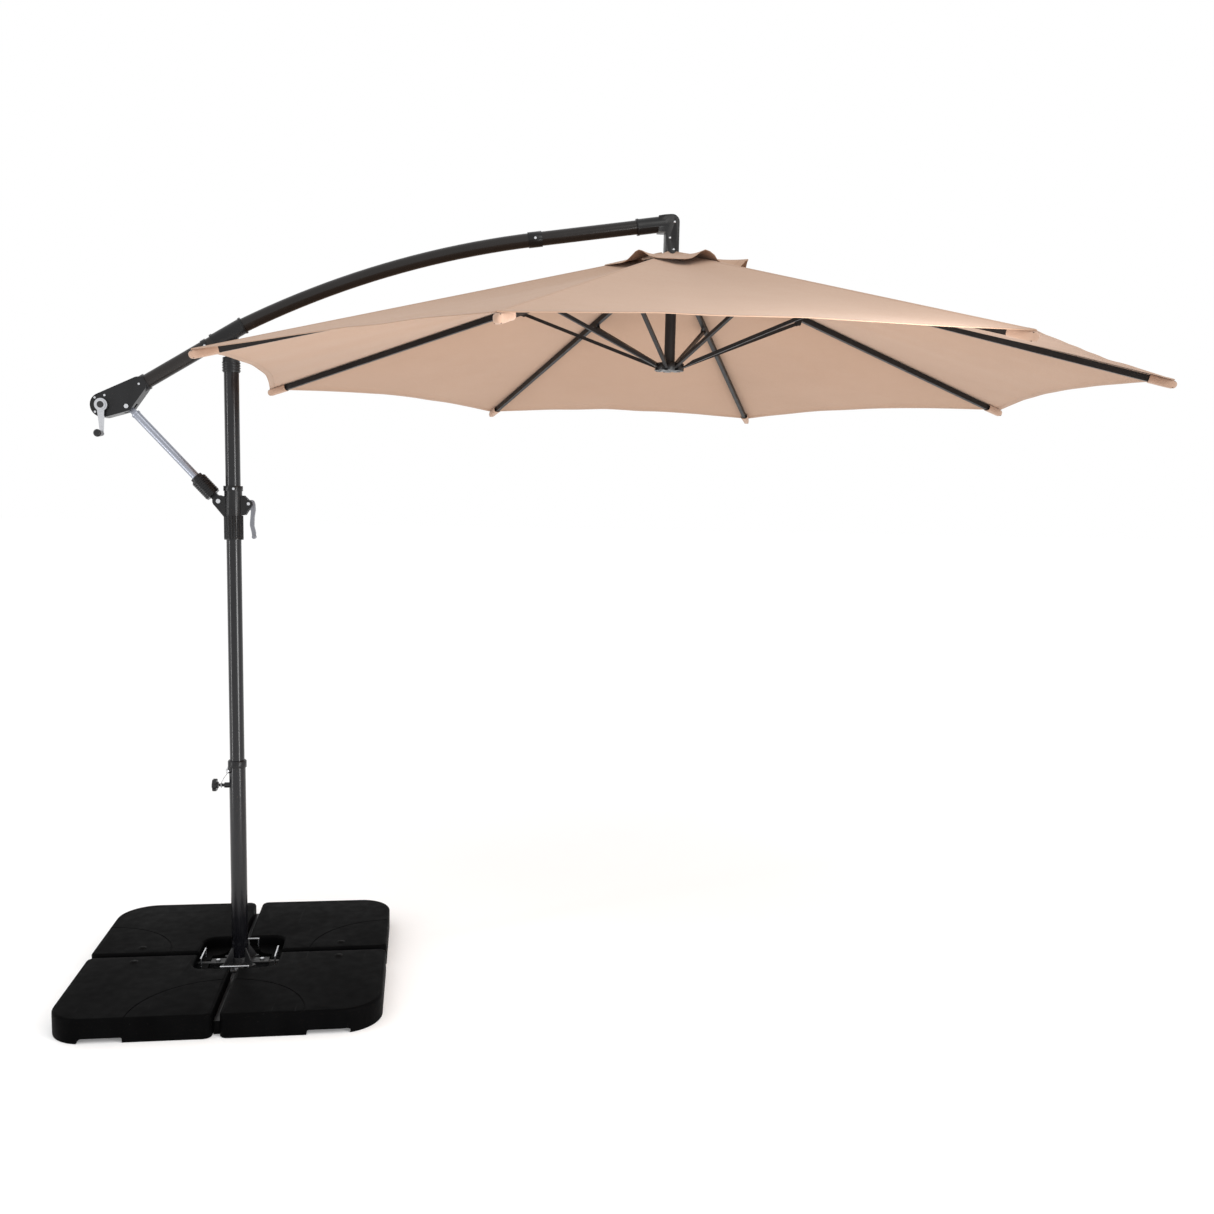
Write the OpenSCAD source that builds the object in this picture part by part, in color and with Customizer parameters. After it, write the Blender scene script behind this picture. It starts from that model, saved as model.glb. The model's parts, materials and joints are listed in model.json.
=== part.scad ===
// Cantilever patio umbrella: weighted cross base, side post, curved arm,
// crank, sliding strut and an eight-rib canopy with a vent.
// Millimetres. Origin on the ground under the post, +Z up, +X towards the canopy.

/* [Base] */
// Overall width of the square base, four plates and their gaps
base_w = 975; // [900:5:1050]
// Gap between neighbouring weight plates
base_gap = 22; // [22:1:26]
// Height of the weight plates
plate_h = 75; // [70:1:90]
// Turn of the base about the post, seen from above
base_turn = 3; // [-10:1:10]

/* [Post] */
// Outer radius of the lower post
lower_post_r = 26.5; // [26.5:0.5:28]
// Outer radius of the upper post
post_r = 23.5; // [23:0.5:24]
// Height of the joint between the lower and upper post
post_joint_z = 722; // [680:2:740]

/* [Arm] */
// Height of the arm's pivot bolt above the ground
pivot_z = 2066; // [2060:1:2072]
// Radius of the arm tubes
arm_r = 22; // [20:0.5:22]
// Radius of the strut tube
strut_r = 13; // [10:0.5:13]

/* [Canopy] */
// Distance of the canopy's axis from the post's axis
canopy_x = 1405; // [1395:1:1415]
// Canopy radius at the rib tips
canopy_r = 1500; // [1400:10:1540]
// Height of the rib pins in the crown hub
crown_z = 2388; // [2384:1:2390]
// Fall of a rib for each millimetre outwards
rib_slope = 0.28; // [0.24:0.01:0.3]
// Depth that the hem curves in between two rib tips
hem_scallop = 62; // [40:2:90]
// Thickness of the canopy cloth as a solid
cloth_t = 2; // [1.5:0.1:3]

/* [Hidden] */
$fn = 48;

eps = 0.01;
run = 0.05;          // radial clearance of a running fit
dark = [0.25, 0.25, 0.26];
black = [0.1, 0.1, 0.1];
silver = [0.78, 0.8, 0.84];
cloth = [0.82, 0.7, 0.62];

// base
half_w = base_w / 2;
open_w = 135;        // half width of the opening round the foot
shelf_h = 42;        // height of the shelf inside that opening
wall_t = 4;          // wall of the fillable plates
grip_x = 330;        // middle, width, depth and height of the hand grips
grip_w = 130;
grip_d = 36;
grip_h = 16;
filler = [330, 60];  // filler cap in a plate's quarter
plate_r = [110, 130];
beam_w = 20;
beam_h = 40;
beam_len = 452;      // from the post's axis to a beam's end
clip_pos = 120;      // from the post's axis to a clip
clip_half = 44;
clip_z = 72;
clip_r = 2.5;
flange_t = 5;
bolt_pos = 72;

// post, collar and knob
knob_z = 650;
stop_z = 420;        // the upper post stands on a ledge at this height
screw_turn = 35;     // the collar's screw, degrees round the post from the knob
collar_screw_z = post_joint_z - 20;
post_top = 2034;

// arm, in the XZ plane: a straight lower tube, an arc and a straight tip
bend = [35, 2137];
lower_tilt = 31.3;
arc_start = 27.3;
arc_r = 3023;
arc_turn = 18.5;
tip_tilt = arc_start - arc_turn;
arc_centre = bend + arc_r * [sin(arc_start), -cos(arc_start)];
arc_end = arc_centre + arc_r * [-sin(tip_tilt), cos(tip_tilt)];
tube_len = 400;      // lower tube, back from the bend
elbow_x = canopy_x - 5;
elbow_top = 2530;

// crank housing, strut and slider
drum = [-393, 1878];
drum_r = 38;
house_half = 27;
shell_t = 3;
strut_top = [-319, 1876];
strut_aim = [0, 1538];
strut_dir = (strut_aim - strut_top) / norm(strut_aim - strut_top);
strut_tilt = -atan2(strut_dir[1], strut_dir[0]);
slide_pin = strut_top + 400.6 * strut_dir;
slide_bot = 1462;
slide_top = 1634;
lever_pin = [50, 1578];

// canopy frame
ribs = 8;
rib_pitch = atan(rib_slope);
crown_pin_r = 42;
rib_len = (canopy_r - crown_pin_r) / cos(rib_pitch);
rib_w = 14;
rib_h = 18;
joint_s = 496;       // from the crown pin to the stretcher's joint, along a rib
joint_drop = 20;     // and below the rib's middle
hub_pin_r = 38;
hub_pin_z = 2050;
joint_r = crown_pin_r + joint_s * cos(rib_pitch) - joint_drop * sin(rib_pitch);
joint_z = crown_z - joint_s * sin(rib_pitch) - joint_drop * cos(rib_pitch);
str_len = norm([joint_r - hub_pin_r, joint_z - hub_pin_z]);
str_pitch = atan2(joint_z - hub_pin_z, joint_r - hub_pin_r);
str_w = 11;
mast_r = 17.5;
mast_bot = 2066;

function rib_az(k) = 202.5 - 45 * (k - 1);
function corner_c(c, r) = [c[0] - r, c[1] - r];

// A cylinder along Y, centred on [x, z]
module y_rod(p, r, len) {
    translate([p[0], 0, p[1]]) rotate([90, 0, 0]) cylinder(r = r, h = len, center = true);
}

// A straight tube or rod between two points of the XZ plane
module xz_rod(a, b, r, bore = 0) {
    v = b - a;
    translate([a[0], 0, a[1]]) rotate([0, 90 - atan2(v[1], v[0]), 0])
        difference() {
            cylinder(r = r, h = norm(v));
            if (bore > 0) translate([0, 0, -1]) cylinder(r = bore, h = norm(v) + 2);
        }
}

// A rod between any two points, with slightly proud round ends
module bar(a, b, r) {
    v = b - a;
    translate(a) rotate([0, acos(v[2] / norm(v)), atan2(v[1], v[0])]) cylinder(r = r, h = norm(v));
    translate(a) sphere(r = r * 1.06, $fn = 24);
    translate(b) sphere(r = r * 1.06, $fn = 24);
}

// A plate of the XZ plane from y0 to y1
module xz_plate(y0, y1) {
    translate([0, y1, 0]) rotate([90, 0, 0]) linear_extrude(y1 - y0) children();
}

// Cuts the outside of a square's [+, +] corner at c to radius r
module corner_cut(c, r) {
    translate(corner_c(c, r)) difference() {
        square(r + 1);
        circle(r = r);
    }
}

/* Base */

module cross_beams() {
    color(dark) rotate([0, 0, base_turn]) difference() {
        for (a = [0, 90]) rotate([0, 0, a])
            translate([-beam_len, -beam_w / 2, 0]) cube([2 * beam_len, beam_w, beam_h]);
        for (a = [0:90:270]) rotate([0, 0, a]) {
            translate([beam_len - 340, -beam_w / 2 + 2, 2]) cube([341, beam_w - 4, beam_h - 4]);
            translate([bolt_pos, 0, beam_h - 12]) cylinder(r = 4, h = 13);
        }
    }
}

// Beam end caps and the plates' filler caps
module plastic_caps() {
    color(black) rotate([0, 0, base_turn]) {
        for (a = [0:90:270]) rotate([0, 0, a]) {
            translate([beam_len, -beam_w / 2, 0]) cube([4, beam_w, beam_h]);
            translate([beam_len - 15, -beam_w / 2 + 2.2, 2.2])
                cube([15.5, beam_w - 4.4, beam_h - 4.4]);
        }
        for (sx = [-1, 1], sy = [-1, 1]) translate([sx * filler[0], sy * filler[1], plate_h - 6]) {
            cylinder(r = 13.9, h = 7);
            translate([0, 0, 6.5]) cylinder(r = 9, h = 2.5);
        }
    }
}

// Flat star of four arms under the post, with four welded gussets
module foot_flange() {
    color(dark) rotate([0, 0, base_turn]) difference() {
        union() {
            translate([0, 0, beam_h]) linear_extrude(flange_t)
                for (a = [0:90:270]) rotate(a) {
                    translate([0, -20]) square([95, 40]);
                    rotate(45) translate([0, -12]) square([70, 24]);
                }
            translate([0, 0, beam_h + 2]) cylinder(r = lower_post_r + 3.5, h = 20);
            for (a = [45:90:315]) rotate([90, 0, a]) translate([0, 0, -2]) linear_extrude(4)
                polygon([[lower_post_r + 1, beam_h + 1], [64, beam_h + 1], [64, beam_h + 12],
                    [lower_post_r + 6, beam_h + 55], [lower_post_r + 1, beam_h + 55]]);
        }
        translate([0, 0, beam_h + flange_t]) cylinder(r = lower_post_r, h = 80);
        for (a = [0:90:270]) rotate([0, 0, a]) translate([bolt_pos, 0, 0]) cylinder(r = 4.2, h = 90);
    }
}

module lower_post() {
    color(dark) {
        difference() {
            union() {
                translate([0, 0, beam_h + flange_t])
                    cylinder(r = lower_post_r, h = post_joint_z - beam_h - flange_t);
                translate([-42, 0, knob_z]) rotate([0, 90, 0]) cylinder(r = 9, h = 18);
            }
            translate([0, 0, beam_h]) cylinder(r = lower_post_r - 2, h = stop_z - beam_h - 8);
            translate([0, 0, stop_z - 9]) cylinder(r = lower_post_r - 6, h = 20);
            translate([0, 0, stop_z]) cylinder(r = lower_post_r - 2, h = 400);
            translate([-50, 0, knob_z]) rotate([0, 90, 0]) cylinder(r = 5 + run, h = 30);
        }
    }
}

// Moulded collar: grips the lower post and carries the upper one
module post_collar() {
    color(black) difference() {
        union() {
            translate([0, 0, post_joint_z - 10]) cylinder(r = 30, h = 20);
            translate([0, 0, post_joint_z + 10]) cylinder(r1 = 30, r2 = 27.5, h = 3);
            // ear under the ring for the screw
            rotate([0, 0, screw_turn]) translate([-30, 0, collar_screw_z]) rotate([0, 90, 0]) {
                cylinder(r = 9, h = 20);
                translate([-12, -9, 0]) cube([12, 18, 20]);
            }
        }
        translate([0, 0, post_joint_z - 40]) cylinder(r = lower_post_r, h = 40);
        translate([0, 0, post_joint_z - 40]) cylinder(r = post_r + run, h = 80);
        rotate([0, 0, screw_turn]) translate([-45, 0, collar_screw_z]) rotate([0, 90, 0])
            cylinder(r = 3, h = 25);
    }
}

// Hexagon head with a round shank, standing on z = 0
module hex_bolt(r, len, head = 1.8) {
    cylinder(r = head * r, h = r * 1.2, $fn = 6);
    translate([0, 0, -len]) cylinder(r = r, h = len + eps);
}

module frame_bolts() {
    color(silver) {
        rotate([0, 0, base_turn]) for (a = [0:90:270]) rotate([0, 0, a])
            translate([bolt_pos, 0, beam_h + flange_t]) hex_bolt(4, 16);
        rotate([0, 0, screw_turn]) translate([-30, 0, collar_screw_z]) rotate([0, -90, 0])
            hex_bolt(3, 3.4);
    }
}

// Spring clips over the beams, their ends in the plates' shelves
module leg_clips() {
    color(silver) rotate([0, 0, base_turn]) for (a = [0:90:270]) rotate([0, 0, a])
        translate([clip_pos, 0, 0]) {
            bar([0, -clip_half, clip_z], [0, clip_half, clip_z], clip_r);
            for (s = [-1, 1]) translate([0, s * clip_half, shelf_h - 10])
                cylinder(r = clip_r, h = clip_z - shelf_h + 10);
        }
}

// Plate outline in the [+, +] quarter, every wall moved in by inset
module plate_outline(inset, outer_r) {
    lo = base_gap / 2 + inset;
    hi = half_w - inset;
    difference() {
        translate([lo, lo]) square(hi - lo);
        corner_cut([hi, hi], outer_r - inset);
        translate([hi, lo]) mirror([0, 1]) corner_cut([0, 0], 24 - inset);
        translate([lo, hi]) mirror([1, 0]) corner_cut([0, 0], 24 - inset);
    }
}

// Opening round the foot in the same quarter, with a rounded corner
module foot_opening(grow, r) {
    difference() {
        square(open_w + grow);
        corner_cut([open_w + grow, open_w + grow], r);
    }
}

module plate_solid(inset, outer_r) {
    difference() {
        translate([0, 0, inset]) linear_extrude(plate_h - 2 * inset) plate_outline(inset, outer_r);
        translate([0, 0, shelf_h - inset]) linear_extrude(plate_h) foot_opening(inset, 45);
        translate([0, 0, -1]) linear_extrude(plate_h) difference() {
            square(open_w - 37 + inset);
            translate([open_w - 37 + inset, open_w - 37 + inset]) circle(r = 45);
        }
        // hand grip under the outer edge
        translate([grip_x - grip_w / 2 - inset, half_w - grip_d - inset, -1])
            cube([grip_w + 2 * inset, 60, grip_h + 1 + inset]);
    }
}

// One fillable plate: quarter [sx, sy], groove centred on one gap's outer end
module weight_plate(sx, sy, outer_r, groove_on_y) {
    flip = (sx < 0 ? [1, 0, 0] : [0, 0, 0]);
    flop = (sy < 0 ? [0, 1, 0] : [0, 0, 0]);
    groove_c = groove_on_y ? [0, half_w] : [half_w, 0];
    color(black) rotate([0, 0, base_turn]) mirror(flip) mirror(flop) difference() {
        plate_solid(0, outer_r);
        plate_solid(wall_t, outer_r);
        // arc groove on the top face
        translate([groove_c[0], groove_c[1], plate_h - 1.5]) difference() {
            cylinder(r = 262, h = 3, $fn = 96);
            translate([0, 0, -1]) cylinder(r = 257, h = 5, $fn = 96);
        }
        translate([filler[0], filler[1], plate_h - 8]) cylinder(r = 14, h = 10);
        translate([clip_pos, clip_half, shelf_h - 11]) cylinder(r = clip_r, h = 20);
        translate([clip_half, clip_pos, shelf_h - 11]) cylinder(r = clip_r, h = 20);
    }
}

// Sand and water that fill the four plates
module ballast_fill() {
    color("tan") rotate([0, 0, base_turn]) for (sx = [0, 1], sy = [0, 1])
        mirror([sx, 0, 0]) mirror([0, sy, 0]) difference() {
            plate_solid(wall_t + 0.2, plate_r[(sx + sy) % 2]);
            translate([filler[0], filler[1], plate_h - 9]) cylinder(r = 16, h = 10);
            translate([clip_pos, clip_half, shelf_h - 14]) cylinder(r = clip_r + 2, h = 20);
            translate([clip_half, clip_pos, shelf_h - 14]) cylinder(r = clip_r + 2, h = 20);
        }
}

/* Post */

module upper_post() {
    color(dark) difference() {
        translate([0, 0, stop_z]) cylinder(r = post_r, h = post_top - stop_z);
        translate([0, 0, stop_z - 1]) cylinder(r = post_r - 1.6, h = post_top);
    }
}

// Moulded fork on the post's top, with fins
module post_head() {
    color(black) difference() {
        union() {
            translate([0, 0, post_top - 42]) cylinder(r = 26.5, h = 46);
            for (s = [-1, 1]) {
                translate([0, s * 12.5, 0]) {
                    xz_plate(-4, 4) translate([0, pivot_z]) circle(r = 15);
                    translate([-15, -4, post_top]) cube([30, 8, pivot_z - post_top]);
                }
                for (i = [-1:1]) translate([i * 9 - 1.5, s * 16 - 1.5, post_top - 30])
                    cube([3, 3, 52]);
            }
            for (z = [0:3]) translate([0, 0, post_top - 38 + 8 * z]) cylinder(r = 28.5, h = 3);
        }
        translate([0, 0, post_top - 43]) cylinder(r = post_r, h = 43);
        y_rod([0, pivot_z], 5, 80);
    }
}

module arm_pivot_bolt() {
    color(silver) {
        y_rod([0, pivot_z], 5, 41);
        for (s = [-1, 1]) translate([0, s * 20.5, pivot_z]) rotate([-s * 90, 0, 0])
            cylinder(r = 8.5, h = 5, $fn = 6);
    }
}

// Star knob and its threaded stem
module lock_knob() {
    color(silver) translate([-60, 0, knob_z]) rotate([0, 90, 0]) cylinder(r = 5, h = 33.2);
    color(black) translate([-62, 0, knob_z]) rotate([0, -90, 0]) {
        cylinder(r = 11, h = 6);
        translate([0, 0, 5]) difference() {
            cylinder(r = 21, h = 13);
            for (a = [0:60:300]) rotate([0, 0, a]) translate([26, 0, -1]) cylinder(r = 9, h = 20);
        }
        translate([0, 0, 17]) cylinder(r = 12, h = 3);
    }
}

// Wire that keeps the knob on the post: an eye at each end and a bent link
module knob_wire() {
    end = [-35.6 * cos(screw_turn), -35.6 * sin(screw_turn), collar_screw_z - 8];
    color(silver) {
        translate([-52, 0, knob_z]) rotate([0, 90, 0])
            rotate_extrude() translate([8, 0]) circle(r = 1.2, $fn = 16);
        rotate([0, 0, screw_turn]) translate([-35.6, 0, collar_screw_z]) rotate([0, 90, 0])
            rotate_extrude() translate([7.4, 0]) circle(r = 1.2, $fn = 16);
        bar([-52, 0, knob_z + 8.6], [-46, 0, knob_z + 21], 1);
        bar([-46, 0, knob_z + 21], end, 1);
    }
}

/* Arm */

// The point s along the lower tube from the bend, back towards the crank
function on_lower(s) = bend - s * [cos(lower_tilt), sin(lower_tilt)];
// The point s along the straight tip from the arc's end
function on_tip(s) = arc_end + s * [cos(tip_tilt), sin(tip_tilt)];

module arm_lower_tube() {
    color(dark) xz_rod(on_lower(tube_len), on_lower(2), arm_r, arm_r - 1.6);
}

// Arc of the arm: a ring segment about a horizontal axis
module arm_arc(r, from, turn) {
    translate([arc_centre[0], 0, arc_centre[1]]) rotate([90, 0, 0])
        rotate([0, 0, 90 + arc_start - from - turn])
            rotate_extrude(angle = turn, $fn = 360) translate([arc_r, 0]) circle(r = r);
}

module arm_curve_tube() {
    color(dark) difference() {
        arm_arc(arm_r, 0.05, arc_turn - 0.05);
        arm_arc(arm_r - 1.6, 0, arc_turn + 0.1);
    }
}

// Sleeve over the bend, with the lug that turns on the post's bolt
module arm_sleeve() {
    color(black) difference() {
        union() {
            xz_rod(on_lower(104), on_lower(-6), 25);
            xz_rod(on_lower(104), on_lower(96), 27);
            xz_rod(on_lower(0), on_lower(-7), 27);
            intersection() {
                xz_plate(-8, 8) polygon([[-13, pivot_z], [13, pivot_z], [32, 2130],
                    [-32, 2098]]);
                translate([-60, -9, pivot_z - 5]) cube([120, 18, 60]);
            }
            y_rod([0, pivot_z], 13, 16);
        }
        xz_rod(on_lower(110), on_lower(0), arm_r);
        xz_rod(on_lower(1), on_lower(-10), arm_r + 1);
        y_rod([0, pivot_z], 5 + run, 30);
    }
}

module arm_tip_tube() {
    color(dark) xz_rod(on_tip(0.5), on_tip(430), arm_r, arm_r - 1.6);
}

// Clamp collars near the crank and over the joint of arc and tip
module arm_collars() {
    color(black) {
        difference() {
            xz_rod(on_lower(138), on_lower(122), 24.5);
            xz_rod(on_lower(150), on_lower(110), arm_r);
        }
        difference() {
            xz_rod(on_tip(-22), on_tip(22), 24.5);
            xz_rod(on_tip(-1), on_tip(30), arm_r);
            arm_arc(arm_r + 0.3, arc_turn - 1, 1.1);
        }
    }
}

// Moulded elbow: a socket for the arm, a round corner and a leg for the mast
module elbow() {
    leg_z = 2402;
    color(black) difference() {
        union() {
            xz_rod(on_tip(330), on_tip(422), 25);
            xz_rod(on_tip(330), on_tip(337), 26.5);
            xz_plate(-23, 23) difference() {
                polygon([on_tip(400) + [0, 24.8], on_tip(425) + [-3.9, 24.8],
                    [elbow_x - 4, elbow_top], [elbow_x + 22, elbow_top], [elbow_x + 22, leg_z],
                    [elbow_x - 22, leg_z], [elbow_x - 22, 2474], on_tip(400) - [0, 24.8]]);
                translate([elbow_x + 22, elbow_top]) corner_cut([0, 0], 24);
            }
        }
        xz_rod(on_tip(320), on_tip(430.5), arm_r);
        translate([canopy_x, 0, leg_z - 1]) cylinder(r = mast_r, h = 81);
        // way for the lift cord round the corner
        xz_plate(-6, 6) polygon([[elbow_x - 60, 2484], [elbow_x - 60, 2506], [elbow_x - 2, 2510],
            [elbow_x + 12, 2498], [elbow_x + 12, 2480], [elbow_x - 6, 2480]]);
        y_rod([elbow_x + 6, elbow_top - 24], 2.6, 60);
        y_rod([elbow_x - 8, 2456], 2.6, 60);
        y_rod([elbow_x + 5, 2420], 2.6, 60);
    }
}

// Rivets of the elbow, screws of the collars and of the crank housing
module arm_rivets() {
    color(silver) {
        for (p = [[elbow_x + 6, elbow_top - 24], [elbow_x - 8, 2456], [elbow_x + 5, 2420]])
            for (s = [-1, 1]) translate([p[0], s * 23, p[1]]) rotate([-s * 90, 0, 0]) {
                translate([0, 0, -4]) cylinder(r = 2.6, h = 4.5);
                cylinder(r1 = 4.2, r2 = 2.6, h = 2);
            }
        for (p = [on_lower(130), on_tip(0)]) translate([p[0], -24.5, p[1]])
            rotate([90, 0, 0]) cylinder(r = 4, h = 3);
        for (p = [drum + [-22, 22], drum + [-22, -22], drum + [8, 30], on_lower(368)])
            translate([p[0], -house_half, p[1]]) rotate([90, 0, 0]) cylinder(r = 3.5, h = 2);
    }
}

module canopy_mast() {
    color(dark) translate([canopy_x, 0, 0]) difference() {
        translate([0, 0, mast_bot]) cylinder(r = mast_r, h = 2482 - mast_bot);
        translate([0, 0, mast_bot - 1]) cylinder(r = mast_r - 1.5, h = 2482);
    }
}

// A ring with slots for eight hinged ends
module slotted_ring(r, z0, h, slot_from, slot_w, bore, pin_r, pin_z) {
    translate([canopy_x, 0, 0]) difference() {
        translate([0, 0, z0]) cylinder(r = r, h = h);
        translate([0, 0, z0 - 1]) cylinder(r = bore, h = h + 2);
        for (k = [1:ribs]) rotate([0, 0, rib_az(k)]) {
            translate([slot_from, -slot_w / 2, z0 - 1]) cube([r, slot_w, h + 2]);
            translate([pin_r, 0, pin_z]) rotate([90, 0, 0])
                cylinder(r = 2.5, h = slot_w + 8, center = true);
        }
    }
}

module crown_hub() {
    color(black) slotted_ring(52, 2376, 24, 30, 8.6, mast_r, crown_pin_r, crown_z);
}

module ring_pins(pin_r, pin_z, slot_w) {
    for (k = [1:ribs]) translate([canopy_x, 0, pin_z]) rotate([0, 0, rib_az(k)])
        translate([pin_r, 0, 0]) rotate([90, 0, 0])
            cylinder(r = 2.5, h = slot_w + 8, center = true);
}

module crown_pins() { color(silver) ring_pins(crown_pin_r, crown_z, 8.6); }

module lower_hub() {
    color(black) {
        slotted_ring(47.5, 2038, 24, 28, 11.8, 6, hub_pin_r, hub_pin_z);
        translate([canopy_x, 0, 0]) difference() {
            union() {
                translate([0, 0, 2061.5]) cylinder(r = 21, h = 4);
                translate([0, 0, 2065]) cylinder(r = 15.6, h = 20);
            }
            translate([0, 0, 2060]) cylinder(r = 6, h = 30);
        }
    }
}

module hub_pins() { color(silver) ring_pins(hub_pin_r, hub_pin_z, 11.8); }

/* Crank and strut */

module housing_outline() {
    hull() {
        translate(drum) circle(r = drum_r);
        translate(on_lower(372)) circle(r = 25);
        translate(strut_top) circle(r = 15);
    }
}

// Both halves of the crank housing as one hollow body
module housing() {
    difference() {
        union() {
            xz_plate(-house_half, house_half) housing_outline();
            xz_rod(on_lower(392), on_lower(346), 26);
        }
        y_rod(drum, drum_r - shell_t, 2 * (house_half - shell_t));
        xz_rod(drum, on_lower(tube_len + 0.5), 12);
        xz_rod(on_lower(tube_len + 0.5), on_lower(340), arm_r);
        y_rod(drum, 8 + run, 90);
        // slot for the strut's eye, open downwards
        xz_plate(-7.6, 7.6) union() {
            translate(strut_top) circle(r = 15);
            polygon([strut_top + [-14, 6], strut_top + [-4, 15], strut_top + [60, 4],
                strut_top + [60, -70], strut_top + [-14, -70]]);
        }
        y_rod(strut_top, 4, 90);
    }
}

module crank_housing_front() {
    color(black) intersection() {
        housing();
        translate([-500, -60, 1700]) cube([300, 60 - eps, 400]);
    }
}

module crank_housing_back() {
    color(black) intersection() {
        housing();
        translate([-500, 0, 1700]) cube([300, 60, 400]);
    }
}

module strut_bolt() {
    color(silver) {
        y_rod(strut_top, 4, 2 * house_half + 1);
        for (s = [-1, 1]) translate([strut_top[0], s * house_half, strut_top[1]])
            rotate([-s * 90, 0, 0]) cylinder(r = 7.5, h = 4.5, $fn = 6);
    }
}

// The strut's own frame: x runs down along its axis from the upper bolt
module on_strut() {
    translate([strut_top[0], 0, strut_top[1]]) rotate([0, strut_tilt, 0]) children();
}

module strut_tube() {
    color(silver) on_strut() translate([34, 0, 0]) rotate([0, 90, 0]) difference() {
        cylinder(r = strut_r, h = 272);
        translate([0, 0, -1]) cylinder(r = strut_r - 1.5, h = 274);
    }
}

// Plug in the tube's top end, flattened to an eye on the bolt
module strut_eye() {
    color(black) on_strut() difference() {
        union() {
            rotate([90, 0, 0]) cylinder(r = 13, h = 15, center = true);
            translate([0, -7.5, -9]) cube([30, 15, 18]);
            translate([28, 0, 0]) rotate([0, 90, 0]) cylinder(r = 14.5, h = 5.9);
            translate([33, 0, 0]) rotate([0, 90, 0]) cylinder(r = strut_r - 1.5, h = 30);
        }
        rotate([90, 0, 0]) cylinder(r = 4 + run, h = 40, center = true);
    }
}

// Ribbed grip on the tube's lower end, with the tongue that meets the slider
module strut_grip() {
    color(black) on_strut() difference() {
        union() {
            translate([306.2, 0, 0]) rotate([0, 90, 0]) cylinder(r = 24, h = 68);
            for (i = [0:8]) translate([309 + 7 * i, 0, 0]) rotate([0, 90, 0])
                cylinder(r = 26, h = 4);
            translate([296, 0, 0]) rotate([0, 90, 0]) cylinder(r = 20, h = 12);
            translate([370, -7.5, -11.5]) cube([30.6, 15, 23]);
            translate([400.6, 0, 0]) rotate([90, 0, 0]) cylinder(r = 13, h = 15, center = true);
        }
        translate([290, 0, 0]) rotate([0, 90, 0]) cylinder(r = strut_r, h = 16);
        // wide hole: room for the open pivot's play across the strut
        translate([400.6, 0, 0]) rotate([90, 0, 0]) cylinder(r = 10, h = 30, center = true);
    }
}

module slider_body() {
    color(black) difference() {
        union() {
            translate([0, 0, slide_bot]) cylinder(r = 28, h = slide_top - slide_bot);
            translate([0, 0, slide_top - 16]) cylinder(r = 30.5, h = 16);
            // fluted skirt
            translate([0, 0, slide_bot]) cylinder(r = 30.5, h = 5);
            for (a = [10:20:350]) rotate([0, 0, a])
                translate([27, 0, slide_bot + 3]) cylinder(r = 3.5, h = 74);
            // cheeks for the strut's tongue
            for (s = [-1, 1]) translate([0, s * 12.2, 0]) xz_plate(-4, 4) {
                translate(slide_pin) circle(r = 19);
                polygon([slide_pin + [-6, 18], [0, slide_pin[1] + 14], [0, slide_pin[1] - 58],
                    [-24, slide_pin[1] - 54], slide_pin + [-15, -11]]);
            }
            // ears for the lever and the block above them
            for (s = [-1, 1]) translate([0, s * 9, 0]) xz_plate(-3, 3) {
                translate(lever_pin) circle(r = 12);
                polygon([[10, lever_pin[1] - 40], lever_pin + [-10, -36], lever_pin + [6, -10],
                    lever_pin + [0, 12], lever_pin + [-14, 26], [10, lever_pin[1] + 26]]);
            }
            // boss for the stop screw
            translate([8, -20, slide_top - 9]) rotate([90, 0, 0]) cylinder(r = 6, h = 12);
        }
        translate([0, 0, slide_bot - 1]) cylinder(r = post_r + 0.35, h = 200);
        // pocket behind the tongue
        translate([-48, -8.2, slide_pin[1] - 24]) cube([20.5, 16.4, 44]);
        translate([30.5, -6, lever_pin[1] - 42]) cube([40, 12, 70]);
        y_rod(slide_pin, 4, 60);
        y_rod(lever_pin, 3, 60);
    }
}

module slider_pins() {
    color(silver) {
        y_rod(slide_pin, 4, 32.4);
        for (s = [-1, 1]) translate([slide_pin[0], s * 16.2, slide_pin[1]])
            rotate([-s * 90, 0, 0]) cylinder(r = 7, h = 3);
        y_rod(lever_pin, 3, 24);
        for (s = [-1, 1]) translate([lever_pin[0], s * 12, lever_pin[1]])
            rotate([-s * 90, 0, 0]) cylinder(r = 5, h = 2);
        translate([8, -32, slide_top - 9]) rotate([90, 0, 0]) cylinder(r = 4, h = 3);
    }
}

// Cam lever: round cam on the pin, a handle hanging down and a curled tip
module brake_lever() {
    color(silver) difference() {
        union() {
            xz_plate(-5.5, 5.5) {
                translate(lever_pin) circle(r = 11);
                translate(lever_pin + [8, 3]) circle(r = 9.5);
                polygon([lever_pin + [-2, -10], lever_pin + [15, 9], lever_pin + [19, 0],
                    lever_pin + [20, -20], lever_pin + [16, -44], lever_pin + [15, -70],
                    lever_pin + [20, -92], lever_pin + [20, -106], lever_pin + [9, -106],
                    lever_pin + [7, -90], lever_pin + [2, -68], lever_pin + [4, -44],
                    lever_pin + [6, -22]]);
            }
            xz_plate(-8, 8) translate(lever_pin + [14.5, -106]) circle(r = 6.5);
        }
        y_rod(lever_pin, 3 + run, 30);
    }
}

// Spool on its shaft, and the cord wound on it
module winch_spool() {
    shaft_end = house_half + 8.9;
    color(silver) {
        y_rod(drum, 14, 40);
        for (s = [-1, 1]) translate([0, s * 18, 0]) y_rod(drum, 26, 3);
        translate([0, (house_half - 1 - shaft_end) / 2, 0]) y_rod(drum, 8, house_half - 1 + shaft_end);
    }
}

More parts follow.
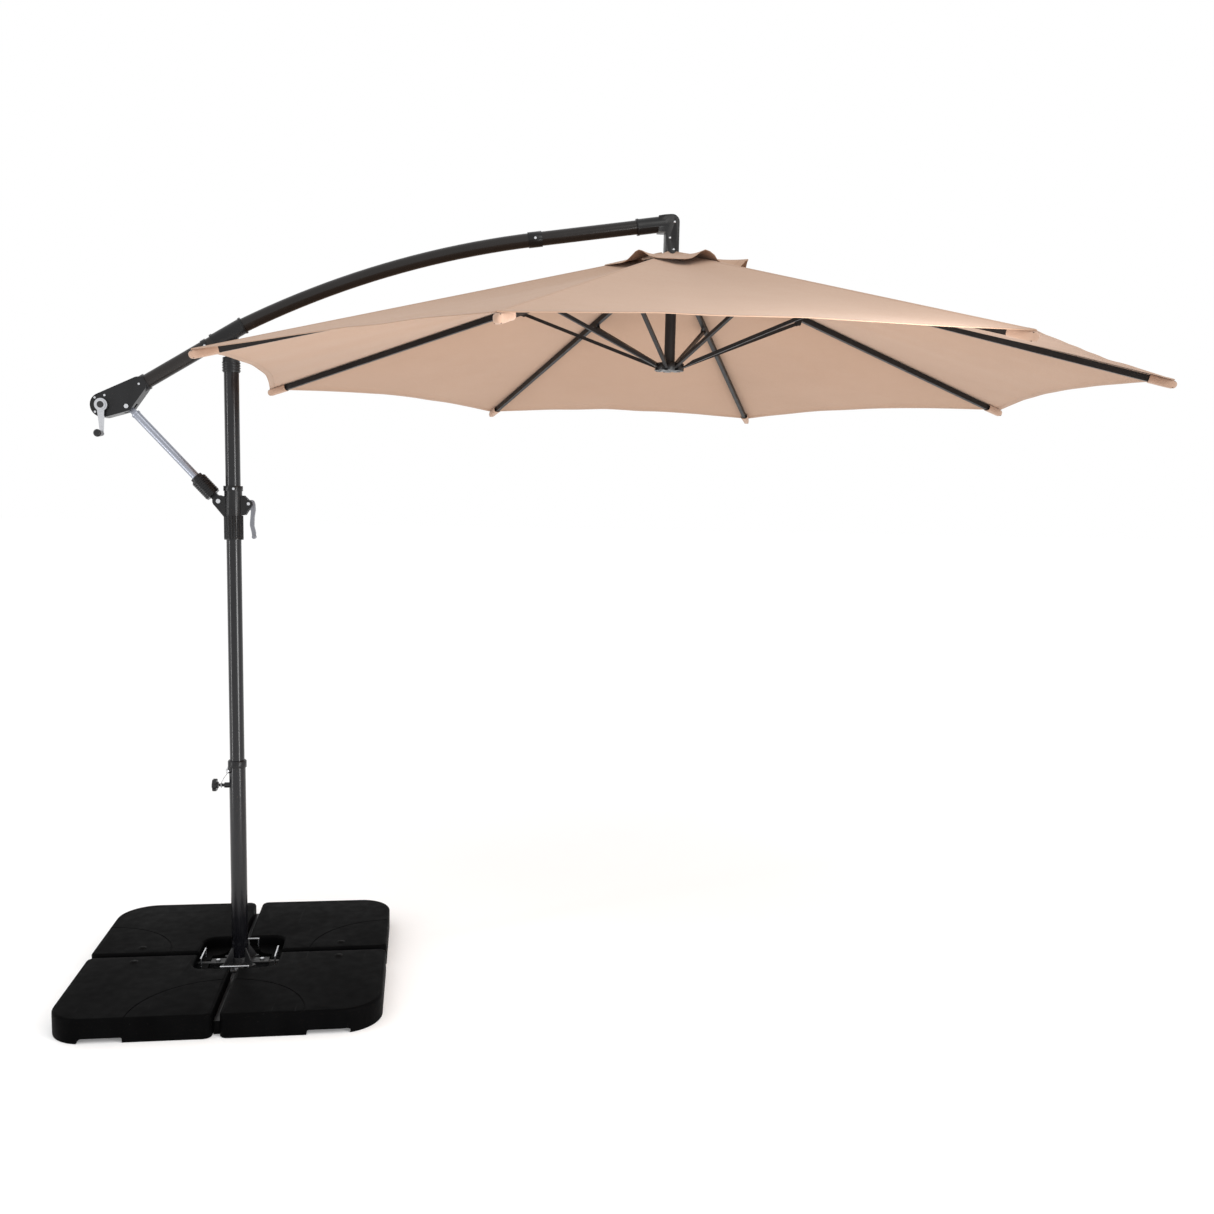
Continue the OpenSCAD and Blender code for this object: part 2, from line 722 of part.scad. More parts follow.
module crank_handle() {
    hx = drum[0];
    color(silver) {
        translate([hx, -house_half - 4, drum[1]]) rotate([90, 0, 0]) difference() {
            cylinder(r = 20, h = 12);
            translate([0, 0, 7]) cylinder(r = 15, h = 6);
            translate([0, 0, -1]) cylinder(r = 8, h = 5.9);
        }
        xz_plate(-house_half - 14, -house_half - 8) {
            polygon([[hx - 12, drum[1] - 16.5], [hx + 10, drum[1] - 17.5],
                [hx + 5, drum[1] - 88], [hx - 5, drum[1] - 88]]);
            translate([hx, drum[1] - 90]) circle(r = 7);
        }
        translate([hx, -house_half - 14, drum[1] - 90]) rotate([90, 0, 0])
            cylinder(r = 4, h = 40);
    }
    color(black) translate([hx, -house_half - 10.9, drum[1]]) rotate([90, 0, 0])
        cylinder(r = 14.9, h = 9);
}

// Barrel grip that spins on the handle's pin
module crank_knob() {
    color(black) translate([drum[0], -house_half - 26, drum[1] - 90]) rotate([90, 0, 0])
        difference() {
            union() {
                cylinder(r1 = 9, r2 = 12, h = 30);
                translate([0, 0, 30]) cylinder(r1 = 12, r2 = 8, h = 5);
            }
            translate([0, 0, -1]) cylinder(r = 4 + run, h = 30);
        }
}

/* Lift cord: from the spool through the arm, the elbow and the mast */
cord_r = 2;
cord_route = [[-372, 1892], [-330, 1915], [-180, 2006], [0, 2115], [60, 2149], [200, 2218],
    [350, 2281], [500, 2332], [650, 2375], [800, 2409], [960, 2439], [1150, 2469],
    [1300, 2492], [1380, 2500], [1402, 2480], [1405, 2440], [1405, 2300], [1405, 2180],
    [1405, 2064], [1405, 2046]];
cord_sides = 8;
function unit(v) = v / norm(v);
function cord_dir(i) = unit(cord_route[min(i + 1, len(cord_route) - 1)] - cord_route[max(i - 1, 0)]);

module lift_cord() {
    n = len(cord_route);
    points = [for (i = [0:n - 1]) for (j = [0:cord_sides - 1])
        let (d = cord_dir(i), a = 360 * j / cord_sides, p = cord_route[i])
        [p[0] - d[1] * cord_r * cos(a), cord_r * sin(a), p[1] + d[0] * cord_r * cos(a)]];
    sides = [for (i = [0:n - 2]) for (j = [0:cord_sides - 1])
        let (k = (j + 1) % cord_sides)
        [i * cord_sides + j, (i + 1) * cord_sides + j, (i + 1) * cord_sides + k, i * cord_sides + k]];
    first = [for (j = [0:cord_sides - 1]) j];
    last = [for (j = [cord_sides - 1:-1:0]) (n - 1) * cord_sides + j];
    color("white") polyhedron(points = points, faces = concat(sides, [first, last]), convexity = 4);
}

/* Canopy */

// A rib's frame: origin on its crown pin, x out along the rib
module on_rib(k) {
    translate([canopy_x, 0, crown_z]) rotate([0, 0, rib_az(k)])
        translate([crown_pin_r, 0, 0]) rotate([0, rib_pitch, 0]) children();
}

module rib(k) {
    color(dark) on_rib(k) {
        difference() {
            union() {
                rotate([90, 0, 0]) cylinder(r = 8, h = 8, center = true);
                translate([0, -4, -7]) cube([42, 8, 14]);
                translate([24, -rib_w / 2, -rib_h / 2]) cube([rib_len - 32, rib_w, rib_h]);
                for (s = [-1, 1]) translate([joint_s, s * 7, 0]) {
                    translate([-9, -1, -joint_drop]) cube([18, 2, joint_drop]);
                    translate([0, 0, -joint_drop]) rotate([90, 0, 0])
                        cylinder(r = 9, h = 2, center = true);
                }
            }
            rotate([90, 0, 0]) cylinder(r = 2.5 + run, h = 30, center = true);
            translate([60, -rib_w / 2 + 1, -rib_h / 2 + 1])
                cube([rib_len, rib_w - 2, rib_h - 2]);
            translate([joint_s, 0, -joint_drop]) rotate([90, 0, 0])
                cylinder(r = 2.5, h = 30, center = true);
        }
        translate([joint_s, 0, -joint_drop]) rotate([90, 0, 0])
            cylinder(r = 2.5, h = 20, center = true);
        // end plug that the cloth's pocket slips over
        translate([rib_len - 20, -rib_w / 2 + 1.2, -rib_h / 2 + 1.2])
            cube([20, rib_w - 2.4, rib_h - 2.4]);
        translate([rib_len - 7.8, -rib_w / 2 - 1, -rib_h / 2 - 1])
            cube([10, rib_w + 2, rib_h + 2]);
    }
}

// Stretcher: a flat-sided bar from the hub's pin to the rib's bracket
module stretcher(k) {
    color(dark) translate([canopy_x, 0, hub_pin_z]) rotate([0, 0, rib_az(k)])
        translate([hub_pin_r, 0, 0]) rotate([0, -str_pitch, 0]) difference() {
            union() {
                translate([0, -str_w / 2, -5.5]) cube([str_len, str_w, 11]);
                for (x = [0, str_len]) translate([x, 0, 0]) rotate([90, 0, 0])
                    cylinder(r = 5.5, h = str_w, center = true);
            }
            translate([14, -str_w / 2 + 1.2, -4.3]) cube([str_len - 28, str_w - 2.4, 8.6]);
            rotate([90, 0, 0]) cylinder(r = 2.5 + run, h = 30, center = true);
            // slot by which the open pivot's pin runs in as the canopy closes
            xz_plate(-15, 15) polygon([[0, -2.5], [12, -1.5], [22, 0.2], [33, 2.4], [48, 6.4],
                [48, 9], [14, 9], [5, 3.5], [0, 2.5]]);
            translate([str_len, 0, 0]) rotate([90, 0, 0])
                cylinder(r = 2.5 + run, h = 30, center = true);
        }
}

// Cloth: distance from the axis and height at turn a from mid gore, share t outwards
gore_steps = 6;
ring_steps = 9;
vent_r = 120;
cloth_rise = 15;     // top of the cloth above the rib pins' cone
cloth_sag = 14;
vent_sag = 12;       // extra sag of the cloth's edge at the vent
half_gore = 180 / ribs;
function hem_r(a) = (canopy_r + 4) * cos(half_gore) / cos(a) - hem_scallop * (1 - pow(a / half_gore, 2));
function cloth_r(a, t) = vent_r + t * (hem_r(a) - vent_r);
function cloth_z(a, t) = crown_z + cloth_rise + rib_slope * crown_pin_r
    - rib_slope * cloth_r(a, t) * cos(a) / cos(half_gore)
    - 4 * cloth_sag * t * (1 - t) * (1 - pow(a / half_gore, 2))
    - vent_sag * pow((1 - t) * (1 - pow(a / half_gore, 2)), 2);
function cloth_point(g, i, j, drop) =
    let (a = half_gore * (2 * i / gore_steps - 1), t = j / ring_steps, az = g * 2 * half_gore + a)
    [canopy_x + cloth_r(a, t) * cos(az), cloth_r(a, t) * sin(az), cloth_z(a, t) - drop];

module canopy() {
    cols = ribs * gore_steps;
    rows = ring_steps + 1;
    points = [for (drop = [0, cloth_t]) for (c = [0:cols - 1]) for (j = [0:ring_steps])
        cloth_point(floor(c / gore_steps), c % gore_steps, j, drop)];
    low = cols * rows;
    function at(c, j) = (c % cols) * rows + j;
    faces = concat(
        [for (c = [0:cols - 1]) for (j = [0:ring_steps - 1]) each
            [[at(c, j), at(c + 1, j), at(c + 1, j + 1)], [at(c, j), at(c + 1, j + 1), at(c, j + 1)]]],
        [for (c = [0:cols - 1]) for (j = [0:ring_steps - 1]) each
            [[low + at(c, j), low + at(c + 1, j + 1), low + at(c + 1, j)],
             [low + at(c, j), low + at(c, j + 1), low + at(c + 1, j + 1)]]],
        [for (c = [0:cols - 1]) each
            [[at(c, ring_steps), at(c + 1, ring_steps), low + at(c + 1, ring_steps)],
             [at(c, ring_steps), low + at(c + 1, ring_steps), low + at(c, ring_steps)],
             [at(c, 0), low + at(c, 0), low + at(c + 1, 0)],
             [at(c, 0), low + at(c + 1, 0), at(c + 1, 0)]]]);
    color(cloth) polyhedron(points = points, faces = faces, convexity = 6);
}

// Vent cap: a low eight-sided cone over the canopy's hole, open round the elbow
module vent_cap() {
    top_z = 2411;
    hem_z = 2350;
    color(cloth) translate([canopy_x, 0, 0]) rotate([0, 0, half_gore]) difference() {
        translate([0, 0, hem_z]) cylinder(r1 = 250, r2 = 34, h = top_z - hem_z, $fn = ribs);
        translate([0, 0, hem_z - cloth_t]) cylinder(r1 = 250, r2 = 34, h = top_z - hem_z, $fn = ribs);
        translate([-6, 0, hem_z]) rotate([0, 0, -half_gore]) cylinder(r = 33, h = 80, $fn = 48);
    }
}

cross_beams();
plastic_caps();
foot_flange();
lower_post();
post_collar();
frame_bolts();
leg_clips();
weight_plate(-1, -1, plate_r[0], true);  // weight_front_left
weight_plate(1, -1, plate_r[1], true);  // weight_front_right
weight_plate(-1, 1, plate_r[1], false);  // weight_back_left
weight_plate(1, 1, plate_r[0], false);  // weight_back_right
ballast_fill();
knob_wire();
upper_post();
post_head();
arm_pivot_bolt();
lock_knob();
arm_lower_tube();
arm_sleeve();
arm_curve_tube();
arm_tip_tube();
arm_collars();
elbow();
arm_rivets();
canopy_mast();
crown_hub();
crown_pins();
crank_housing_front();
crank_housing_back();
strut_bolt();
lift_cord();
vent_cap();
canopy();
strut_tube();
strut_grip();
strut_eye();
slider_body();
slider_pins();
brake_lever();
winch_spool();
crank_handle();
crank_knob();
lower_hub();
hub_pins();
rib(1);  // rib_1
rib(2);  // rib_2
rib(3);  // rib_3
rib(4);  // rib_4
rib(5);  // rib_5
rib(6);  // rib_6
rib(7);  // rib_7
rib(8);  // rib_8
stretcher(1);  // stretcher_1
stretcher(2);  // stretcher_2
stretcher(3);  // stretcher_3
stretcher(4);  // stretcher_4
stretcher(5);  // stretcher_5
stretcher(6);  // stretcher_6
stretcher(7);  // stretcher_7
stretcher(8);  // stretcher_8
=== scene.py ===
import json
import math

import bmesh
import bpy
from mathutils import Matrix, Vector, noise


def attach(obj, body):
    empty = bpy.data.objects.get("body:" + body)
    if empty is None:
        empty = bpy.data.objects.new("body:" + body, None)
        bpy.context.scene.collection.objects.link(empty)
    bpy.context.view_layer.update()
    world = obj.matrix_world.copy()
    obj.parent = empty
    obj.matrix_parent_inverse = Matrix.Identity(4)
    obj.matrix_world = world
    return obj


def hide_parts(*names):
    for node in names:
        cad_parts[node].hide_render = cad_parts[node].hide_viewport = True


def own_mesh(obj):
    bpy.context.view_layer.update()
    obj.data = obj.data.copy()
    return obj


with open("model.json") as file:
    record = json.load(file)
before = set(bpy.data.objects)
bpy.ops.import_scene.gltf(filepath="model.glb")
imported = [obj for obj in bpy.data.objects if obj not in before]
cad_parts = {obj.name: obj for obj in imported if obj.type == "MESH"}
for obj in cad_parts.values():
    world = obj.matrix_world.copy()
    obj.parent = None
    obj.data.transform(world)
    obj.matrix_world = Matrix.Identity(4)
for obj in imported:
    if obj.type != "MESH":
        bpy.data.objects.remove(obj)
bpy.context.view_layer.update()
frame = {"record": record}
cos, sin, pi = math.cos, math.sin, math.pi
joints = frame["record"]["behaviour"]["joints"]
JOINT_AT = {j["name"]: j["pos_m"] for j in joints if "pos_m" in j}

# sizes of the sewn cloth, in metres
SEAM_W, SEAM_H = 0.0085, 0.0016
HEM_W = 0.0228
CLOTH_T = 0.0012
SEAM_STITCH, HEM_STITCH, EDGE_STITCH = 0.0055, 0.020, 0.003
STITCH_PITCH = 0.004


# ---------------------------------------------------------------- camera
def camera():
    """The photo's viewpoint, fitted to the rib tips, the plates' corners and the post."""
    data = bpy.data.cameras.new("camera")
    data.lens, data.sensor_width = 34.33, 36
    data.shift_x, data.shift_y = 0.0193, 0.0260
    data.clip_end = 200
    cam = bpy.data.objects.new("camera", data)
    bpy.context.collection.objects.link(cam)
    yaw, pitch, roll = 0.0861, -0.1191, 0.0209
    fwd = Vector((sin(yaw) * cos(pitch), cos(yaw) * cos(pitch), sin(pitch)))
    right = Vector((cos(yaw), -sin(yaw), 0))
    up = right.cross(fwd)
    x = cos(roll) * right + sin(roll) * up
    y = cos(roll) * up - sin(roll) * right
    m = Matrix((x, y, -fwd)).transposed().to_4x4()
    m.translation = (0.8106, -3.8381, 1.6126)
    cam.matrix_world = m
    bpy.context.scene.camera = cam


# ---------------------------------------------------------------- materials
class Mat:
    """A Principled material with short calls for its nodes."""

    def __init__(self, name, metallic=0.0, specular=0.5, coat=0.0, sheen=0.0):
        self.m = bpy.data.materials.new(name)
        self.m.use_nodes = True
        self.t = self.m.node_tree
        self.b = next(n for n in self.t.nodes if n.type == "BSDF_PRINCIPLED")
        self.b.inputs["Metallic"].default_value = metallic
        self.b.inputs["Specular IOR Level"].default_value = specular
        self.b.inputs["Coat Weight"].default_value = coat
        self.b.inputs["Coat Roughness"].default_value = 0.18
        self.b.inputs["Sheen Weight"].default_value = sheen
        self.b.inputs["Sheen Roughness"].default_value = 0.5
        self.coords = self.add("ShaderNodeTexCoord")

    def add(self, kind, **values):
        n = self.t.nodes.new(kind)
        for k, v in values.items():
            if k in n.inputs:
                n.inputs[k].default_value = v
            else:
                setattr(n, k, v)
        return n

    def wire(self, a, b):
        self.t.links.new(a, b)

    def place(self, source=None, scale=(1, 1, 1), turn=(0, 0, 0)):
        n = self.add("ShaderNodeMapping", Scale=scale, Rotation=turn)
        self.wire(source or self.coords.outputs["Object"], n.inputs["Vector"])
        return n.outputs["Vector"]

    def noise(self, scale, detail=3.0, at=None):
        n = self.add("ShaderNodeTexNoise", Scale=scale, Detail=detail)
        self.wire(at or self.coords.outputs["Object"], n.inputs["Vector"])
        return n.outputs["Fac"]

    def curve(self, fac, lo, hi, out_lo=0.0, out_hi=1.0):
        n = self.add("ShaderNodeMapRange")
        n.inputs["From Min"].default_value, n.inputs["From Max"].default_value = lo, hi
        n.inputs["To Min"].default_value, n.inputs["To Max"].default_value = out_lo, out_hi
        self.wire(fac, n.inputs["Value"])
        return n.outputs["Result"]

    def math(self, op, a, b=None, c=None):
        n = self.add("ShaderNodeMath", operation=op)
        for i, v in enumerate((a, b, c)):
            if v is None:
                continue
            if isinstance(v, (int, float)):
                n.inputs[i].default_value = v
            else:
                self.wire(v, n.inputs[i])
        return n.outputs[0]

    def cells(self, scale):
        n = self.add("ShaderNodeTexVoronoi", Scale=scale)
        self.wire(self.coords.outputs["Object"], n.inputs["Vector"])
        return n.outputs["Distance"]

    def mix(self, fac, a, b):
        n = self.add("ShaderNodeMix", data_type="RGBA")
        self.wire(fac, n.inputs["Factor"])
        for socket, v in ((n.inputs[6], a), (n.inputs[7], b)):
            if isinstance(v, tuple):
                socket.default_value = (*v, 1)
            else:
                self.wire(v, socket)
        return n.outputs[2]

    def dusted(self, shade, amount, tone, level, patches):
        """Dust over a shade, in patches on the faces that look up by more than level."""
        up = self.add("ShaderNodeSeparateXYZ")
        self.wire(self.add("ShaderNodeNewGeometry").outputs["Normal"], up.inputs[0])
        lies = self.math("MULTIPLY", self.curve(up.outputs[2], level, 1), patches)
        return self.mix(self.math("MULTIPLY", lies, amount), shade, tone)

    def colour(self, socket):
        self.wire(socket, self.b.inputs["Base Color"])

    def rough(self, socket):
        self.wire(socket, self.b.inputs["Roughness"])

    def bumps(self, *layers):
        last = None
        for height, strength, distance in layers:
            n = self.add("ShaderNodeBump", Strength=strength, Distance=distance)
            self.wire(height, n.inputs["Height"])
            if last:
                self.wire(last, n.inputs["Normal"])
            last = n.outputs["Normal"]
        self.wire(last, self.b.inputs["Normal"])


def painted(name, dark, light, rough, metallic=0.0, specular=0.5, coat=0.0, dust=0.0, wear=0.25):
    """Powder coat: fine orange peel, slight shade drift, scuffs, and dust on faces that look up."""
    m = Mat(name, metallic, specular, coat)
    drift = m.noise(5, 4)
    shade = m.mix(m.curve(drift, 0.3, 0.7), dark, light)
    scuff = m.curve(m.noise(60, 6, m.place(scale=(1, 1, 0.12))), 0.62, 0.75)
    shade = m.mix(m.math("MULTIPLY", scuff, wear), shade, tuple(min(1, c * 2.2 + 0.02) for c in light))
    if dust:
        shade = m.dusted(shade, dust, (0.16, 0.15, 0.14), 0.5, m.curve(m.noise(9, 5), 0.4, 0.75))
    m.colour(shade)
    m.rough(m.curve(m.noise(22, 5), 0.25, 0.75, rough - 0.06, rough + 0.08))
    peel = m.noise(900, 2)
    m.bumps((peel, 0.05, 0.0003), (m.noise(140, 2), 0.02, 0.0005))
    return m.m


def moulded(name, dark, light, rough, grain=1400, strength=0.25, dust=0.0, specular=0.35):
    """Injection-moulded plastic: spark-eroded grain, faint flow marks, scratches."""
    m = Mat(name, 0.0, specular)
    flow = m.noise(11, 5, m.place(scale=(1, 1, 0.4)))
    shade = m.mix(m.curve(flow, 0.35, 0.7), dark, light)
    scratch = m.curve(m.noise(160, 4, m.place(scale=(1, 0.03, 1), turn=(0.2, 0.3, 0.9))), 0.68, 0.74)
    shade = m.mix(m.math("MULTIPLY", scratch, 0.25), shade, tuple(c * 2 + 0.03 for c in light))
    if dust:
        shade = m.dusted(shade, dust, (0.09, 0.088, 0.085), 0.6, m.curve(m.noise(7, 6), 0.42, 0.72))
    m.colour(shade)
    m.rough(m.curve(m.noise(30, 4), 0.3, 0.7, rough - 0.05, rough + 0.07))
    m.bumps((m.cells(grain), strength, 0.0002), (m.noise(35, 2), 0.08, 0.0006))
    return m.m


def metal(name, tone, rough, along=(1, 1, 0.02), brushed=0.25, spots=0.0, turn=(0, 0, 0), cap=None):
    """Bare metal: lines drawn along one direction, clouding and zinc spangle.
    cap is (x, z, radius) of a black plastic disc round an axis along Y."""
    m = Mat(name, 1.0)
    m.b.inputs["Anisotropic"].default_value = 0.3
    lines = m.noise(700, 4, m.place(m.place(turn=turn), along))
    cloud = m.noise(16, 4)
    low = tuple(c * 0.72 for c in tone)
    shade = m.mix(m.curve(lines, 0.3, 0.7), low, tone)
    shade = m.mix(m.math("MULTIPLY", m.curve(cloud, 0.45, 0.8), 0.3), shade, tuple(c * 0.6 for c in tone))
    if spots:
        shade = m.mix(m.math("MULTIPLY", m.cells(180), spots), shade, (0.9, 0.92, 0.95))
    if cap:
        x, z, radius = cap
        p = m.add("ShaderNodeSeparateXYZ")
        m.wire(m.coords.outputs["Object"], p.inputs[0])
        off = [m.math("SUBTRACT", p.outputs[i], v) for i, v in ((0, x), (2, z))]
        away = m.math("SQRT", m.math("ADD", m.math("POWER", off[0], 2), m.math("POWER", off[1], 2)))
        bare = m.math("GREATER_THAN", away, radius)
        shade = m.mix(bare, (0.012, 0.012, 0.013), shade)
        m.wire(bare, m.b.inputs["Metallic"])
    m.colour(shade)
    m.rough(m.curve(lines, 0.3, 0.7, rough - 0.05, rough + 0.1))
    m.bumps((lines, brushed * 0.4, 0.0002), (m.noise(60, 3), 0.06, 0.0005))
    return m.m


def woven(name, dark, light, stitch):
    """Polyester canopy cloth: plain weave, slubs, soft creases, and sewn lines at seam and hem.
    Both maps are in metres: 'cloth' is across from the seam and along it, 'hem' is from the hem
    and round it."""
    m = Mat(name, 0.0, 0.22, sheen=0.22)
    m.b.inputs["Sheen Tint"].default_value = (1, 0.9, 0.82, 1)
    cloth = m.add("ShaderNodeUVMap", uv_map="cloth").outputs["UV"]
    hem = m.add("ShaderNodeUVMap", uv_map="hem").outputs["UV"]
    across = m.add("ShaderNodeTexWave", Scale=170, Distortion=0.6, Detail=1)
    m.wire(m.place(cloth), across.inputs["Vector"])
    along = m.add("ShaderNodeTexWave", Scale=170, Distortion=0.6, Detail=1, bands_direction="Y")
    m.wire(m.place(cloth), along.inputs["Vector"])
    weave = m.math("MAXIMUM", across.outputs["Fac"], along.outputs["Fac"])
    slub = m.math(
        "ADD",
        m.noise(30, 3, m.place(cloth, (1, 22, 1))),
        m.noise(30, 3, m.place(cloth, (22, 1, 1))),
    )
    shade = m.mix(m.curve(m.noise(2.6, 4), 0.3, 0.7), dark, light)
    shade = m.mix(m.curve(slub, 0.75, 1.3, 0, 0.3), shade, tuple(c * 0.9 for c in dark))
    shade = m.mix(m.math("MULTIPLY", weave, 0.10), shade, tuple(min(1, c * 1.15) for c in light))
    c, h = m.add("ShaderNodeSeparateXYZ"), m.add("ShaderNodeSeparateXYZ")
    m.wire(cloth, c.inputs[0])
    m.wire(hem, h.inputs[0])
    side = m.math("ABSOLUTE", c.outputs[0])

    def row(where, line, along_it):
        near = m.math("LESS_THAN", m.math("ABSOLUTE", m.math("SUBTRACT", where, line)), 0.0006)
        wave = m.math("SINE", m.math("MULTIPLY", along_it, 2 * pi / STITCH_PITCH))
        dash = m.math("GREATER_THAN", wave, -0.5)
        return m.math("MULTIPLY", near, dash)

    seam_row = row(side, SEAM_STITCH, c.outputs[1])
    hem_row = row(h.outputs[0], HEM_STITCH, h.outputs[1])
    edge_row = row(h.outputs[0], EDGE_STITCH, h.outputs[1])
    sewn = m.math("MINIMUM", m.math("ADD", m.math("ADD", seam_row, hem_row), edge_row), 1)
    shade = m.mix(sewn, shade, stitch)
    # the doubled cloth of the seam and the hem is a little deeper in colour
    double = m.math(
        "MAXIMUM",
        m.curve(side, 0.007, 0.0078, 1, 0),
        m.curve(h.outputs[0], 0.0222, 0.0230, 1, 0),
    )
    shade = m.mix(m.math("MULTIPLY", double, 0.35), shade, tuple(v * 0.86 for v in dark))
    m.colour(shade)
    m.rough(m.curve(slub, 0.7, 1.3, 0.78, 0.9))
    pucker = m.math(
        "MULTIPLY",
        m.noise(60, 2, m.place(cloth, (0.4, 1, 1))),
        m.math("ADD", m.curve(side, 0.0, 0.05, 1, 0), m.curve(h.outputs[0], 0.0, 0.06, 1, 0)),
    )
    m.bumps(
        (m.noise(3.2, 3), 0.30, 0.02),
        (pucker, 0.35, 0.004),
        (sewn, 0.5, 0.0008),
        (weave, 0.22, 0.0004),
    )
    return m.m


def plain_cloth():
    """The same cloth for pieces without maps: weave and creases by the object's own coordinates."""
    m = Mat("pocket_cloth", 0.0, 0.25, sheen=0.35)
    m.b.inputs["Sheen Tint"].default_value = (1, 0.9, 0.82, 1)
    fine = m.noise(900, 2)
    shade = m.mix(m.curve(m.noise(14, 4), 0.3, 0.7), (0.41, 0.265, 0.19), (0.45, 0.30, 0.22))
    shade = m.mix(m.curve(fine, 0.3, 0.8, 0, 0.35), shade, (0.34, 0.22, 0.16))
    m.colour(shade)
    m.rough(m.curve(fine, 0.3, 0.7, 0.8, 0.92))
    m.bumps((m.noise(45, 3), 0.5, 0.004), (fine, 0.3, 0.0005))
    return m.m


def cord_mat():
    m = Mat("cord_weave", 0.0, 0.2)
    wave = m.add("ShaderNodeTexWave", Scale=120, Distortion=0.3, bands_direction="DIAGONAL")
    m.wire(m.coords.outputs["Object"], wave.inputs["Vector"])
    m.colour(m.mix(wave.outputs["Fac"], (0.02, 0.02, 0.02), (0.06, 0.06, 0.06)))
    m.rough(m.curve(wave.outputs["Fac"], 0, 1, 0.9, 0.7))
    m.bumps((wave.outputs["Fac"], 0.5, 0.0005))
    return m.m


def fill_mat():
    m = Mat("wet_sand", 0.0, 0.4)
    m.colour(m.mix(m.noise(400, 5), (0.25, 0.18, 0.11), (0.42, 0.33, 0.22)))
    m.rough(m.curve(m.noise(90, 4), 0.3, 0.7, 0.5, 0.9))
    m.bumps((m.noise(900, 3), 0.6, 0.001))
    return m.m


def floor_mat():
    m = Mat("studio_floor", 0.0, 0.0)
    m.b.inputs["Emission Color"].default_value = (1, 1, 1, 1)
    m.b.inputs["Emission Strength"].default_value = 0.15
    m.colour(m.mix(m.noise(1.3, 3), (0.86, 0.86, 0.86), (0.89, 0.89, 0.89)))
    m.rough(m.curve(m.noise(4, 3), 0.3, 0.7, 0.75, 0.85))
    m.bumps((m.noise(120, 2), 0.02, 0.001))
    return m.m


STRUT_LEAN = math.atan2(0.319, 0.338)  # from the vertical: the strut's run over its rise
DRUM_X, _, DRUM_Z = JOINT_AT["crank_turn"]
HUB_DISC_R = 0.0105
POST = painted("post_paint", (0.003, 0.003, 0.004), (0.005, 0.005, 0.0065), 0.17, specular=0.44, wear=0.04)
ARM = painted(
    "arm_paint", (0.011, 0.009, 0.008), (0.016, 0.013, 0.012), 0.24,
    metallic=0.15, specular=0.34, coat=0.08, wear=0.08,
)
BASE_STEEL = painted(
    "base_paint", (0.008, 0.008, 0.009), (0.013, 0.013, 0.014), 0.40, specular=0.3, dust=0.1
)
RIB = painted(
    "rib_paint", (0.010, 0.009, 0.009), (0.015, 0.014, 0.014), 0.42, metallic=0.1, specular=0.25
)
MOULD = moulded(
    "black_moulding", (0.006, 0.006, 0.0065), (0.010, 0.010, 0.011), 0.28, specular=0.30, strength=0.12
)
PLATE = moulded(
    "plate_plastic", (0.0016, 0.0016, 0.0017), (0.0026, 0.0026, 0.0027), 0.50,
    grain=700, strength=0.35, dust=0.004, specular=0.012,
)
CAPS = moulded("cap_plastic", (0.002, 0.002, 0.002), (0.0035, 0.0035, 0.0035), 0.5, specular=0.03)
KNOB = moulded("knob_plastic", (0.008, 0.008, 0.009), (0.014, 0.014, 0.015), 0.32)
NYLON = moulded("spool_nylon", (0.30, 0.29, 0.27), (0.40, 0.39, 0.36), 0.5)
SILVER = metal("drawn_aluminium", (0.37, 0.39, 0.45), 0.30, brushed=0.02, turn=(0, STRUT_LEAN, 0))
CAST = metal("cast_lever", (0.26, 0.265, 0.29), 0.34, along=(1, 1, 1), brushed=0.4)
CHROME = metal(
    "plated_crank", (0.66, 0.67, 0.70), 0.20, along=(1, 1, 1), brushed=0.05, cap=(DRUM_X, DRUM_Z, HUB_DISC_R)
)
ZINC = metal("zinc_plate", (0.66, 0.67, 0.69), 0.28, along=(1, 1, 1), spots=0.25)
CLOTH = woven("canopy_cloth", (0.398, 0.250, 0.170), (0.425, 0.272, 0.188), (0.33, 0.212, 0.148))
POCKET = plain_cloth()

FINISH = {
    POST: "lower_post upper_post",
    ARM: "arm_lower_tube arm_curve_tube arm_tip_tube",
    BASE_STEEL: "cross_beams foot_flange",
    RIB: "canopy_mast " + " ".join(f"rib_{k} stretcher_{k}" for k in range(1, 9)),
    MOULD: "post_collar post_head arm_sleeve arm_collars elbow crank_housing_front crank_housing_back "
    "strut_grip slider_body crown_hub lower_hub",
    CAPS: "plastic_caps",
    KNOB: "lock_knob crank_knob",
    NYLON: "winch_spool",
    SILVER: "strut_tube strut_eye",
    CAST: "brake_lever",
    CHROME: "crank_handle",
    ZINC: "frame_bolts leg_clips knob_wire arm_rivets crown_pins hub_pins strut_bolt slider_pins "
    "arm_pivot_bolt",
    cord_mat(): "lift_cord",
    fill_mat(): "ballast_fill",
}
# rounding of the edges a hand would feel, in metres
SOFT_EDGES = {
    "post_head": 0.0012, "post_collar": 0.0010, "arm_sleeve": 0.0010, "arm_collars": 0.0008,
    "elbow": 0.0012, "slider_body": 0.0010, "plastic_caps": 0.0010, "crown_hub": 0.0008,
    "lower_hub": 0.0010, "lock_knob": 0.0012, "crank_knob": 0.0010, "brake_lever": 0.0010,
    "cross_beams": 0.0012, "foot_flange": 0.0006,
}


